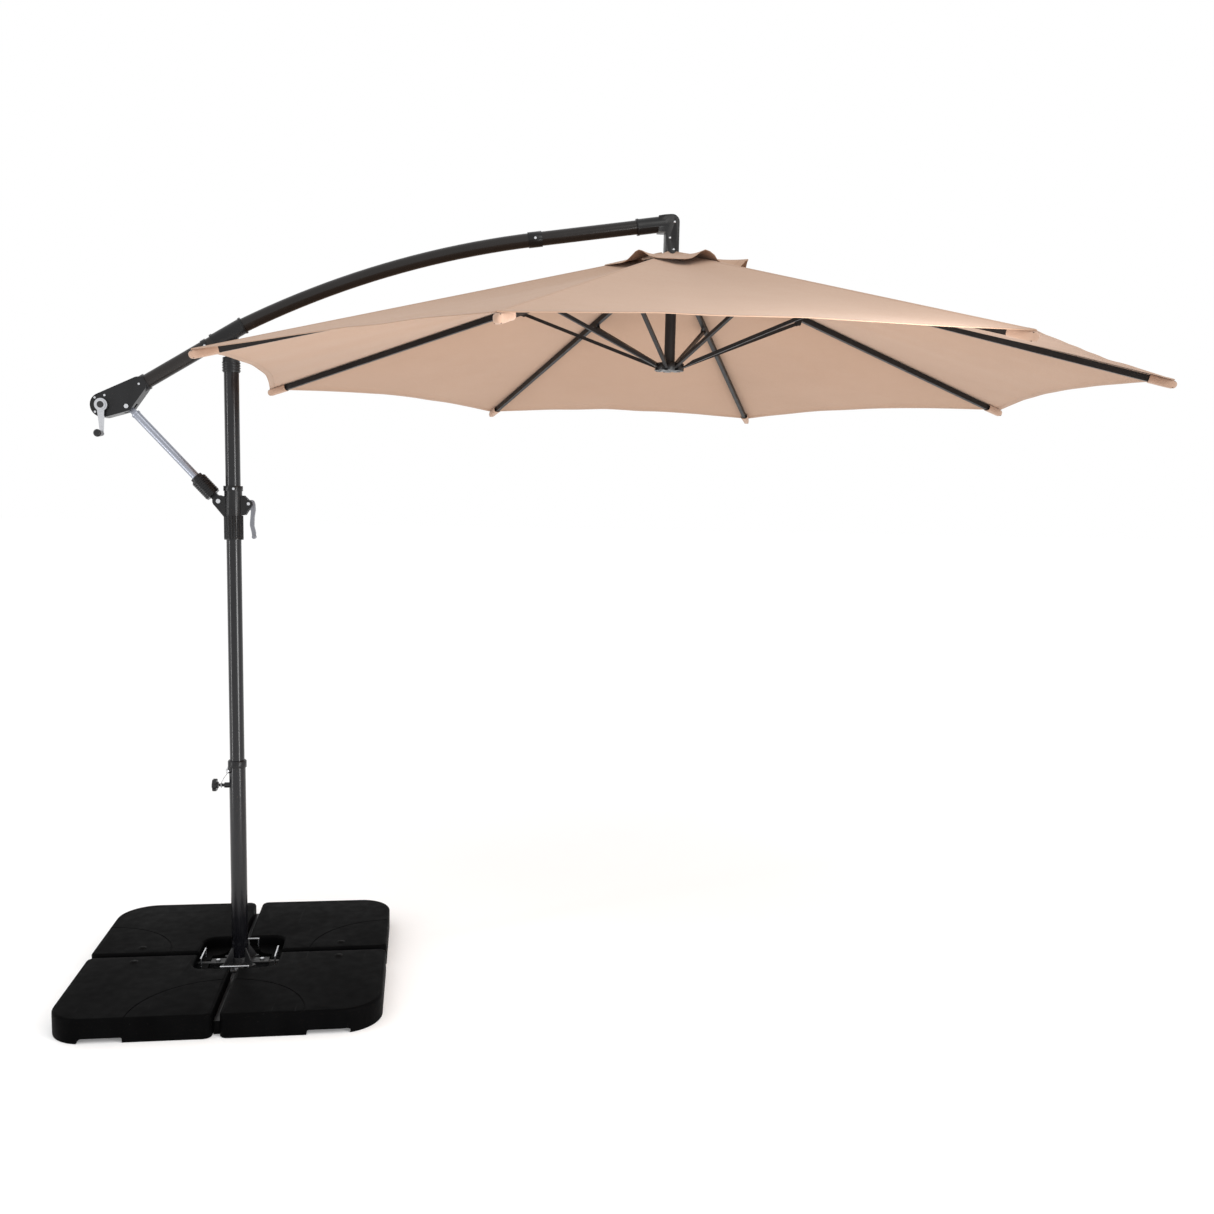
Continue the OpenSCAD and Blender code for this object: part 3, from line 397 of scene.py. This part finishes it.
def dress_nodes():
    for mat, names in FINISH.items():
        for name in names.split():
            o = bpy.data.objects[name]
            o.data.materials.clear()
            o.data.materials.append(mat)
            for p in o.data.polygons:
                p.use_smooth = True
    for name, width in SOFT_EDGES.items():
        o = bpy.data.objects[name]
        weld = o.modifiers.new("weld", "WELD")
        weld.merge_threshold = 1e-6
        flat = o.modifiers.new("flat", "DECIMATE")
        flat.decimate_type, flat.angle_limit = "DISSOLVE", math.radians(0.6)
        edge = o.modifiers.new("edge", "BEVEL")
        edge.width, edge.segments, edge.limit_method = width, 2, "ANGLE"
        edge.angle_limit, edge.harden_normals = math.radians(40), True


# ---------------------------------------------------------------- mesh helpers
def new_object(name, verts, faces, mat, uvs=None):
    """uvs is {map name: [(u, v) per vertex]}."""
    me = bpy.data.meshes.new(name)
    me.from_pydata([tuple(v) for v in verts], [], faces)
    for map_name, values in (uvs or {}).items():
        layer = me.uv_layers.new(name=map_name)
        for loop in me.loops:
            layer.data[loop.index].uv = values[loop.vertex_index]
    me.materials.append(mat)
    for p in me.polygons:
        p.use_smooth = True
    me.set_sharp_from_angle(angle=math.radians(38))
    o = bpy.data.objects.new(name, me)
    bpy.context.collection.objects.link(o)
    return o


def face_outward(o):
    bm = bmesh.new()
    bm.from_mesh(o.data)
    bmesh.ops.recalc_face_normals(bm, faces=bm.faces)
    bm.to_mesh(o.data)
    bm.free()
    return o


def sheet_mesh(name, top, bottom, mat, uv_cloth, uv_hem, wrap=False):
    """A closed sheet from two grids of points (rows of columns).
    With wrap the columns close on themselves."""
    rows, cols = len(top), len(top[0])

    def at(j, i):
        return j * cols + i % cols

    low = rows * cols
    verts = [p for row in top for p in row] + [p for row in bottom for p in row]
    span = cols if wrap else cols - 1
    faces = []
    for j in range(rows - 1):
        for i in range(span):
            a, b, c, d = at(j, i), at(j, i + 1), at(j + 1, i + 1), at(j + 1, i)
            faces += [(a, d, c, b), (low + a, low + b, low + c, low + d)]
    for i in range(span):
        a, b = at(0, i), at(0, i + 1)
        faces.append((a, b, low + b, low + a))
        a, b = at(rows - 1, i), at(rows - 1, i + 1)
        faces.append((b, a, low + a, low + b))
    if not wrap:
        for j in range(rows - 1):
            a, b = at(j, 0), at(j + 1, 0)
            faces.append((b, a, low + a, low + b))
            a, b = at(j, cols - 1), at(j + 1, cols - 1)
            faces.append((a, b, low + b, low + a))
    maps = {}
    for key, grid in (("cloth", uv_cloth), ("hem", uv_hem)):
        flat = [p for row in grid for p in row]
        maps[key] = flat + flat
    return face_outward(new_object(name, verts, faces, mat, maps))


def loft(name, rings, mat):
    """Skin over closed rings of equal length, with flat ends."""
    n = len(rings[0])
    verts = [p for r in rings for p in r]
    faces = [
        (j * n + i, j * n + (i + 1) % n, (j + 1) * n + (i + 1) % n, (j + 1) * n + i)
        for j in range(len(rings) - 1)
        for i in range(n)
    ]
    faces += [tuple(range(n))[::-1], tuple(range((len(rings) - 1) * n, len(rings) * n))]
    return face_outward(new_object(name, verts, faces, mat))


def area_of(grid):
    """The area of a grid of points, a cell at a time from its diagonals."""
    total = 0
    for a, b in zip(grid, grid[1:]):
        for i in range(len(a) - 1):
            total += (b[i + 1] - a[i]).cross(b[i] - a[i + 1]).length / 2
    return total


# ---------------------------------------------------------------- canopy
AXIS_X, CROWN_Z = 1.405, JOINT_AT["rib_1_fold"][2]
HALF = math.radians(22.5)
SLOPE, VENT_R, TIP_R = 0.28, 0.120, 1.504
PITCH = math.atan(SLOPE)
PIN_R = 0.042  # crown pins from the axis
CLOTH_LIFT = 0.015  # cloth over the line through the crown pins
SCALLOP, SAG, VENT_SAG = 0.062, 0.014, 0.012


def rib_az(k):
    return math.radians(202.5 - 45 * (k - 1))


def hem_r(a):
    return TIP_R * cos(HALF) / cos(a) - SCALLOP * (1 - (a / HALF) ** 2)


def cloth_point(az, a, t):
    """A point of the cloth and its distance from the axis.
    az is round the canopy, a from the middle of the gore, t from vent to hem."""
    r = VENT_R + t * (hem_r(a) - VENT_R)
    loose = 1 - (a / HALF) ** 2
    z = CROWN_Z + CLOTH_LIFT + SLOPE * PIN_R - SLOPE * r * cos(a) / cos(HALF)
    z -= 4 * SAG * t * (1 - t) * loose + VENT_SAG * ((1 - t) * loose) ** 2
    x, y = r * cos(az), r * sin(az)
    z += 0.0055 * loose * min(1, 4 * t) * noise.noise(Vector((x * 2.1, y * 2.1, 3.1)))
    z += 0.0035 * loose * t * noise.noise(Vector((cos(az) * 9, sin(az) * 9, r * 0.9)))
    return Vector((AXIS_X + x, y, z)), r


def panel(k):
    """The cloth that rib k carries: half a gore on each side of the rib's seam."""
    rib = rib_az(k)
    near = (0.0, 0.0025, SEAM_STITCH, SEAM_W, 0.013)
    steps, rows = 22, 36
    reach = TIP_R - VENT_R
    first, last = 0.010, 1 - 0.030 / reach
    ts = [0, 0.006, first] + [first + (last - first) * j / rows for j in range(1, rows + 1)]
    # close rows where the hem is doubled and sewn
    ts += [1 - d / reach for d in (0.023, 0.0215, 0.012, 0.003, 0.0)]
    top, bottom, uv_cloth, uv_hem = [], [], [], []
    for t in ts:
        r0 = VENT_R + t * reach
        side = [min(s / r0, HALF * 0.05 * i) for i, s in enumerate(near)]
        side += [side[-1] + (HALF - side[-1]) * i / steps for i in range(1, steps + 1)]
        turns = [-b for b in side[:0:-1]] + side
        row_t, row_b, row_c, row_h = [], [], [], []
        for b in turns:
            a = b - HALF if b >= 0 else b + HALF
            p, r = cloth_point(rib + b, a, t)
            s, d = b * r, (1 - t) * (hem_r(a) - VENT_R) / cos(PITCH)
            seam = SEAM_H * max(0.0, 1 - (abs(s) / SEAM_W) ** 2) ** 0.5
            fold = 0.0010 if d < HEM_W else 0.0
            rim = 0.0006 if t in (0, 1) else 0.0
            row_t.append(p + Vector((0, 0, seam + fold * 0.4 - rim)))
            row_b.append(p - Vector((0, 0, CLOTH_T + fold - rim)))
            row_c.append((s, (r - VENT_R) / cos(PITCH)))
            row_h.append((d, (rib + b) * r))
        top.append(row_t)
        bottom.append(row_b)
        uv_cloth.append(row_c)
        uv_hem.append(row_h)
    o = sheet_mesh(f"canopy_panel_{k}", top, bottom, CLOTH, uv_cloth, uv_hem)
    return o, area_of(top)


def rib_frame(k):
    """Crown pin, outward along the rib, sideways, and up off the rib."""
    az = rib_az(k)
    flat = Vector((cos(az), sin(az), 0))
    start = Vector((AXIS_X, 0, CROWN_Z)) + flat * PIN_R
    out = flat * cos(PITCH) - Vector((0, 0, sin(PITCH)))
    side = Vector((-sin(az), cos(az), 0))
    return start, out, side, side.cross(out) * -1


def pocket(k):
    """The sewn pocket that holds a rib's tip: a shell of doubled cloth, closed at the hem."""
    start, out, side, up = rib_frame(k)

    def ring(s, w, h):
        """A rounded box of half sizes w and h round the rib, s along it."""
        pts = []
        sides, square = 28, 0.62
        for i in range(sides):
            q = 2 * pi * i / sides
            c, v = cos(q), sin(q)
            x = math.copysign(abs(c) ** square, c) * w
            y = math.copysign(abs(v) ** square, v) * h
            puff = 1 + 0.05 * noise.noise(Vector((s * 60, q * 1.2, k * 3.0)))
            pts.append(start + out * s + side * x * puff + up * (y * puff))
        return pts

    outer = [
        (1.446, 0.0148, 0.0120), (1.449, 0.0156, 0.0125), (1.458, 0.0140, 0.0124), (1.478, 0.0122, 0.0124),
        (1.498, 0.0112, 0.0122), (1.512, 0.0104, 0.0118), (1.520, 0.0086, 0.0092), (1.5235, 0.0052, 0.0052),
        (1.5245, 0.0018, 0.0016),
    ]
    inner = [
        (1.5185, 0.0018, 0.0015), (1.5165, 0.0078, 0.0090), (1.498, 0.0098, 0.0108),
        (1.446, 0.0134, 0.0108),
    ]
    rings = [ring(*v) for v in inner] + [ring(*v) for v in outer]
    o = loft(f"tip_pocket_{k}", rings, POCKET)
    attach(o, f"rib_{k}")
    return o


def canopy():
    for k in range(1, 9):
        o, area = panel(k)
        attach(o, f"rib_{k}")
        start, out, side, up = rib_frame(k)
        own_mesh(o)
        pocket(k)
        if k == 1:
            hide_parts("canopy")


# the places where the vent cap's loose hem lifts: height, place round the cap, width
RIPPLES = (
    (0.030, 4.10, 0.15), (0.030, 5.00, 0.13), (0.034, 5.89, 0.13), (0.012, 2.2, 0.20), (0.010, 1.1, 0.20),
)
CAP_R = 0.248


def vent_cap():
    """The small eight-sided cap over the canopy's hole, its loose hem lifted in five places."""
    hem, top_z, rim = 2.350, 2.411, 0.0345
    cols, rows = 8 * 14, 16
    top, bottom, uv_cloth, uv_hem = [], [], [], []
    ts = [0] + [(j / rows) ** 1.1 * 0.96 + 0.01 for j in range(1, rows + 1)] + [0.985, 1]
    for t in ts:
        row_t, row_b, row_c, row_h = [], [], [], []
        for i in range(cols):
            az = 2 * pi * i / cols
            a = (az + pi / 8) % (pi / 4) - pi / 8
            edge = CAP_R * cos(HALF) / cos(a)
            r = rim + t * (edge - rim)
            loose = 1 - (a / HALF) ** 2
            ripple = sum(h * math.exp(-(((az - place) / w) ** 2)) for h, place, w in RIPPLES)
            ripple += 0.003 * noise.noise(Vector((cos(az) * 5, sin(az) * 5, 1.7)))
            z = top_z + (hem - top_z) * t - 0.006 * (1 - t) * loose
            z += ripple * t**2.2
            seam = 0.0012 * max(0.0, 1 - (abs(abs(a) - HALF) * r / 0.007) ** 2) ** 0.5
            centre_x = AXIS_X - 0.006 * (1 - t)
            p = Vector((centre_x + r * cos(az), r * sin(az), z))
            fold = 0.0009 if t > 0.93 else 0.0
            lip = 0.0005 if t in (0, 1) else 0.0
            row_t.append(p + Vector((0, 0, seam - lip)))
            row_b.append(p - Vector((0, 0, CLOTH_T + fold - lip)))
            row_c.append(((abs(a) - HALF) * r, r))
            row_h.append(((1 - t) * (edge - rim), az * edge))
        top.append(row_t)
        bottom.append(row_b)
        uv_cloth.append(row_c)
        uv_hem.append(row_h)
    o = sheet_mesh("cap_cloth", top, bottom, CLOTH, uv_cloth, uv_hem, wrap=True)
    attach(o, "arm")
    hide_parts("vent_cap")


# ---------------------------------------------------------------- weight plates
HALF_W, GAP, PLATE_H, SHELF_H = 0.4875, 0.022, 0.075, 0.042
BASE_TURN = math.radians(3)


def arc(cx, cy, r, a0, a1, n):
    turns = [a0 + (a1 - a0) * i / n for i in range(n + 1)]
    return [(cx + r * cos(q), cy + r * sin(q)) for q in turns]


def prism(bm, outline, z0, z1, top_r, bottom_r, steps=5):
    """A closed solid over the outline (counter-clockwise), its top and bottom edges rounded."""
    n = len(outline)
    normals = []
    for i in range(n):
        p, q, s = Vector(outline[i - 1]), Vector(outline[i]), Vector(outline[(i + 1) % n])
        d1, d2 = (q - p).normalized(), (s - q).normalized()
        n1, n2 = Vector((d1.y, -d1.x)), Vector((d2.y, -d2.x))
        mid = (n1 + n2).normalized()
        normals.append(mid / max(0.5, mid.dot(n1)))
    low = [pi / 2 * i / 3 for i in range(4)]
    high = [pi / 2 * i / steps for i in range(steps + 1)]
    profile = [(bottom_r * (1 - sin(q)), z0 + bottom_r * (1 - cos(q))) for q in low]
    profile += [(top_r * (1 - cos(q)), z1 - top_r * (1 - sin(q))) for q in high]
    rings = []
    for inset, z in profile:
        ring = [(x - m.x * inset, y - m.y * inset, z) for (x, y), m in zip(outline, normals)]
        rings.append([bm.verts.new(p) for p in ring])
    for a, b in zip(rings, rings[1:]):
        for i in range(n):
            j = (i + 1) % n
            bm.faces.new((a[i], a[j], b[j], b[i]))
    bm.faces.new(rings[0][::-1])
    bm.faces.new(rings[-1])


def solid_from(name, build):
    bm = bmesh.new()
    build(bm)
    bmesh.ops.recalc_face_normals(bm, faces=bm.faces)
    me = bpy.data.meshes.new(name)
    bm.to_mesh(me)
    bm.free()
    o = bpy.data.objects.new(name, me)
    bpy.context.collection.objects.link(o)
    return o


def plate_mesh(sx, sy, outer_r, groove_on_y):
    """One plate, built in the first quadrant and mirrored by the signs sx and sy."""
    lo, hi, side_r = GAP / 2, HALF_W, 0.024
    outer = arc(hi - side_r, lo + side_r, side_r, -pi / 2, 0, 8)
    outer += arc(hi - outer_r, hi - outer_r, outer_r, 0, pi / 2, 20)
    outer += arc(lo + side_r, hi - side_r, side_r, pi / 2, pi, 8)

    def inner(w, r):
        return [(lo, w)] + arc(w - r, w - r, r, pi / 2, 0, 12) + [(w, lo)]

    def lobe(w, r):
        return [(lo, w)] + arc(w, w, r, pi, 1.5 * pi, 12) + [(w, lo)]

    def body(bm):
        prism(bm, outer + inner(0.135, 0.045), SHELF_H - 0.004, PLATE_H, 0.010, 0.0005)

    def shelf(bm):
        prism(bm, outer + lobe(0.098, 0.045), 0.0, SHELF_H, 0.0015, 0.003, 3)

    def groove(bm):
        cx, cy = (0, HALF_W) if groove_on_y else (HALF_W, 0)
        n = 128
        rings = []
        for r, z in ((0.2566, 0.004), (0.2580, -0.0016), (0.2610, -0.0016), (0.2624, 0.004)):
            ring = arc(cx, cy, r, 0, 2 * pi, n)[:-1]
            rings.append([bm.verts.new((x, y, PLATE_H + z)) for x, y in ring])
        for a, b in zip(rings, rings[1:] + rings[:1]):
            for i in range(n):
                bm.faces.new((a[i], a[(i + 1) % n], b[(i + 1) % n], b[i]))

    def filler(bm):
        hole = arc(0.330, 0.060, 0.014, 0, 2 * pi, 32)[:-1]
        prism(bm, hole, PLATE_H - 0.008, PLATE_H + 0.01, 0.0001, 0.0001, 1)

    def grip(bm):
        x0, x1, y0 = 0.265, 0.395, HALF_W - 0.036
        hand = arc(x1 - 0.01, y0 + 0.01, 0.01, -pi / 2, 0, 5) + [(x1, HALF_W + 0.03), (x0, HALF_W + 0.03)]
        hand += arc(x0 + 0.01, y0 + 0.01, 0.01, pi, 1.5 * pi, 5)
        prism(bm, hand, -0.02, 0.016, 0.004, 0.0001, 3)

    main = solid_from("plate_work", shelf)
    steps = ((body, "UNION"), (groove, "DIFFERENCE"), (filler, "DIFFERENCE"), (grip, "DIFFERENCE"))
    for build, op in steps:
        tool = solid_from("plate_tool", build)
        mod = main.modifiers.new("cut", "BOOLEAN")
        mod.operation, mod.object, mod.solver = op, tool, "EXACT"
        bpy.context.view_layer.update()
        me = bpy.data.meshes.new_from_object(main.evaluated_get(bpy.context.evaluated_depsgraph_get()))
        main.modifiers.clear()
        main.data = me
        bpy.data.objects.remove(tool)
    me = main.data
    turn = Matrix.Rotation(BASE_TURN, 4, "Z") @ Matrix.Diagonal((sx, sy, 1, 1))
    me.transform(turn)
    if sx * sy < 0:
        me.flip_normals()
    bpy.data.objects.remove(main)
    return me


def plates():
    for name, sx, sy, r, on_y in (
        ("front_left", -1, -1, 0.110, True),
        ("front_right", 1, -1, 0.130, True),
        ("back_left", -1, 1, 0.130, False),
        ("back_right", 1, 1, 0.110, False),
    ):
        me = plate_mesh(sx, sy, r, on_y)
        me.name = f"plate_{name}"
        me.materials.clear()
        me.materials.append(PLATE)
        for p in me.polygons:
            p.use_smooth = True
            p.material_index = 0
        me.set_sharp_from_angle(angle=math.radians(32))
        o = bpy.data.objects.new(f"plate_{name}", me)
        bpy.context.collection.objects.link(o)
        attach(o, "base")
        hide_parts(f"weight_{name}")


# ---------------------------------------------------------------- studio
def studio():
    bm = bmesh.new()
    bmesh.ops.create_grid(bm, x_segments=8, y_segments=8, size=60)
    me = bpy.data.meshes.new("floor")
    bm.to_mesh(me)
    bm.free()
    me.materials.append(floor_mat())
    floor = bpy.data.objects.new("floor", me)
    floor.location.z = -0.0005
    bpy.context.collection.objects.link(floor)

    world = bpy.data.worlds.new("studio")
    bpy.context.scene.world = world
    world.use_nodes = True
    back = world.node_tree.nodes["Background"]
    back.inputs["Color"].default_value = (1, 1, 1, 1)
    back.inputs["Strength"].default_value = 1.0

    def light(name, place, aim, size, power, tone=(1, 1, 1)):
        data = bpy.data.lights.new(name, "AREA")
        data.shape, data.size, data.size_y = "RECTANGLE", size[0], size[1]
        data.energy, data.color = power, tone
        o = bpy.data.objects.new(name, data)
        o.location = place
        o.rotation_euler = (Vector(aim) - Vector(place)).to_track_quat("-Z", "Y").to_euler()
        bpy.context.collection.objects.link(o)

    light("key", (3.6, -4.8, 5.5), (0.8, 0, 1.2), (3.5, 3.5), 86, (1, 0.985, 0.95))
    light("fill", (4.8, -4.0, 0.6), (2.0, 0, 2.2), (3, 1.2), 34)
    light("strip_left", (-2.4, -1.2, 1.1), (0, 0, 1.1), (0.20, 2.2), 20)
    light("strip_right", (1.75, -1.65, 1.1), (0, 0, 1.1), (0.38, 2.1), 27)


bpy.context.scene.view_settings.view_transform = "Standard"
camera()
dress_nodes()
canopy()
vent_cap()
plates()
studio()
